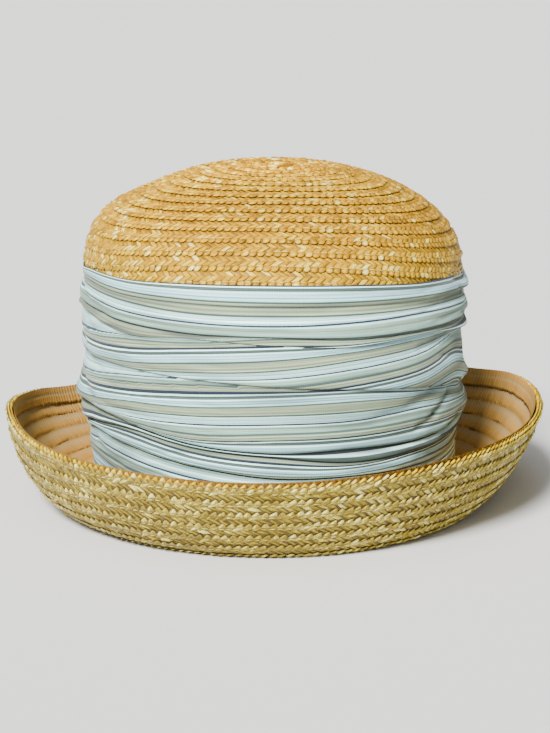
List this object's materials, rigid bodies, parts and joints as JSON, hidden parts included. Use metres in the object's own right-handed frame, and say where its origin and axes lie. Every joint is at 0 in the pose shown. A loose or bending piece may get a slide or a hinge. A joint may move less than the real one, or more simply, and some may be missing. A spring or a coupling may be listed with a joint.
{
  "type": "straw cloche hat",
  "caption": "Straw braid cloche hat with an oval domed crown, an upturned bowl-shaped brim, an extra braid inside the rim and a wide ruched striped sash.",
  "frame": {"origin": "the middle of the hat on the surface that it stands on", "axes": "front of the hat towards -Y, its length front to back along Y, up the crown +Z"},
  "size_m": [0.2464, 0.2792, 0.1531],
  "materials": {
    "crown_straw": "golden plaited straw with a soft gloss",
    "brim_straw": "greenish-gold plaited straw with a soft gloss",
    "rim_straw": "orange-gold plaited straw with a soft gloss",
    "sash_cloth": "matt fine ribbed cotton with pale blue, cream and navy stripes"
  },
  "bodies": {
    "root": {"crown": "crown_straw", "brim": "brim_straw", "rim_facing": "rim_straw", "sash": "sash_cloth"}
  },
  "joints": []
}
